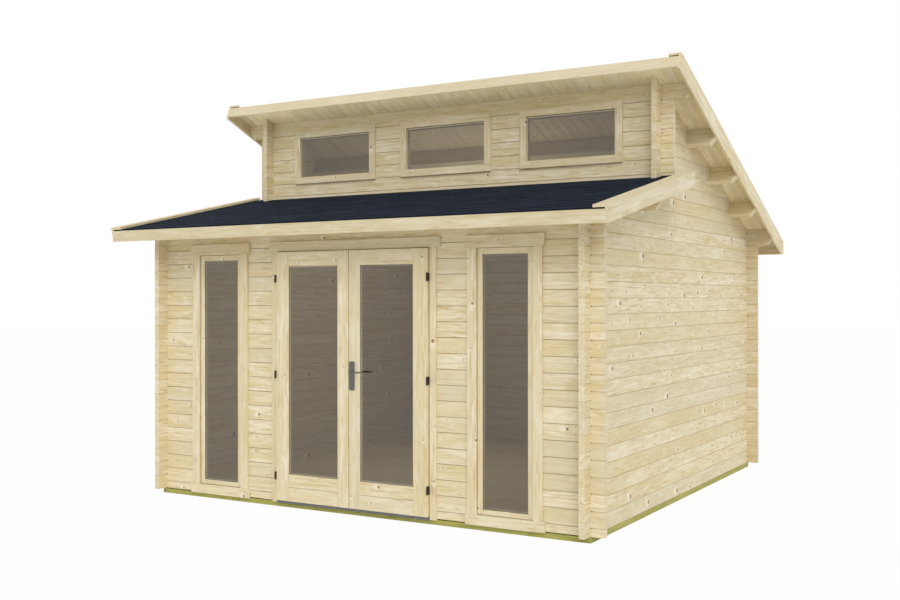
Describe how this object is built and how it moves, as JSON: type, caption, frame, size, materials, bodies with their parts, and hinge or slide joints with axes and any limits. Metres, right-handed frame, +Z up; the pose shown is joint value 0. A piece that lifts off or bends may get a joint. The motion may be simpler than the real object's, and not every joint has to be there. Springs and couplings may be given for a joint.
{
  "type": "log garden house",
  "caption": "Log garden house with a glazed double door, tall side windows, a low front roof and a raised window wall under a main roof that falls to the back.",
  "frame": {"origin": "on the ground, in the middle of the log walls' outline", "axes": "+X to the right along the front, +Y from the front to the back, +Z up"},
  "size_m": [4.416, 4.5911, 3.4696],
  "materials": {
    "logs": "planed spruce, clear satin",
    "boards": "planed spruce, clear satin",
    "joinery": "planed spruce, clear satin",
    "beams": "pressure-treated, matte",
    "shingles": "mineral-faced bitumen, matte",
    "glass": "clear",
    "threshold": "dark grey, satin",
    "hinges": "black, satin",
    "plates": "satin",
    "lever": "satin"
  },
  "bodies": {
    "house": {"front_back_beams": "beams", "side_beams": "beams", "floor_joists": "beams", "floor": "boards", "front_foot_logs": "logs", "front_corner_left": "logs", "front_corner_right": "logs", "front_pier_left": "logs", "front_pier_right": "logs", "front_wall_top": "logs", "left_wall": "logs", "right_wall": "logs", "back_wall": "logs", "raised_wall": "logs", "low_purlin": "logs", "main_purlins": "logs", "low_roof_boards": "boards", "low_roof_shingles": "shingles", "main_roof_boards": "boards", "main_roof_shingles": "shingles", "low_fascia": "boards", "main_fascia": "boards", "back_fascia": "boards", "low_barge_boards": "boards", "main_barge_boards": "boards", "low_cover_strips": "boards", "main_cover_strips": "boards", "tall_window_frames": "joinery", "tall_window_trims": "joinery", "tall_window_glass": "glass", "raised_window_frames": "joinery", "raised_window_trims": "joinery", "raised_window_glass": "glass", "door_frame": "joinery", "door_trim": "joinery", "threshold": "threshold", "frame_hinges": "hinges"},
    "left_door": {"left_leaf": "joinery", "left_leaf_glass": "glass", "left_leaf_hinges": "hinges"},
    "right_door": {"right_leaf": "joinery", "right_leaf_glass": "glass", "right_leaf_hinges": "hinges", "lever_plates": "plates"},
    "lever": {"lever": "lever"}
  },
  "joints": [
    {"name": "left_door_swing", "type": "hinge", "parent": "house", "child": "left_door", "pos_m": [-0.6995, -1.999, 0], "axis": [0, 0, -1], "range_deg": [0, 110]},
    {"name": "right_door_swing", "type": "hinge", "parent": "house", "child": "right_door", "pos_m": [0.6995, -1.999, 0], "axis": [0, 0, 1], "range_deg": [0, 110]},
    {"name": "lever_turn", "type": "hinge", "parent": "right_door", "child": "lever", "pos_m": [0.0325, -1.97, 1.086], "axis": [0, 1, 0], "range_deg": [0, 40], "stiffness_Nm_per_rad": 1, "springref_deg": -34.38}
  ]
}
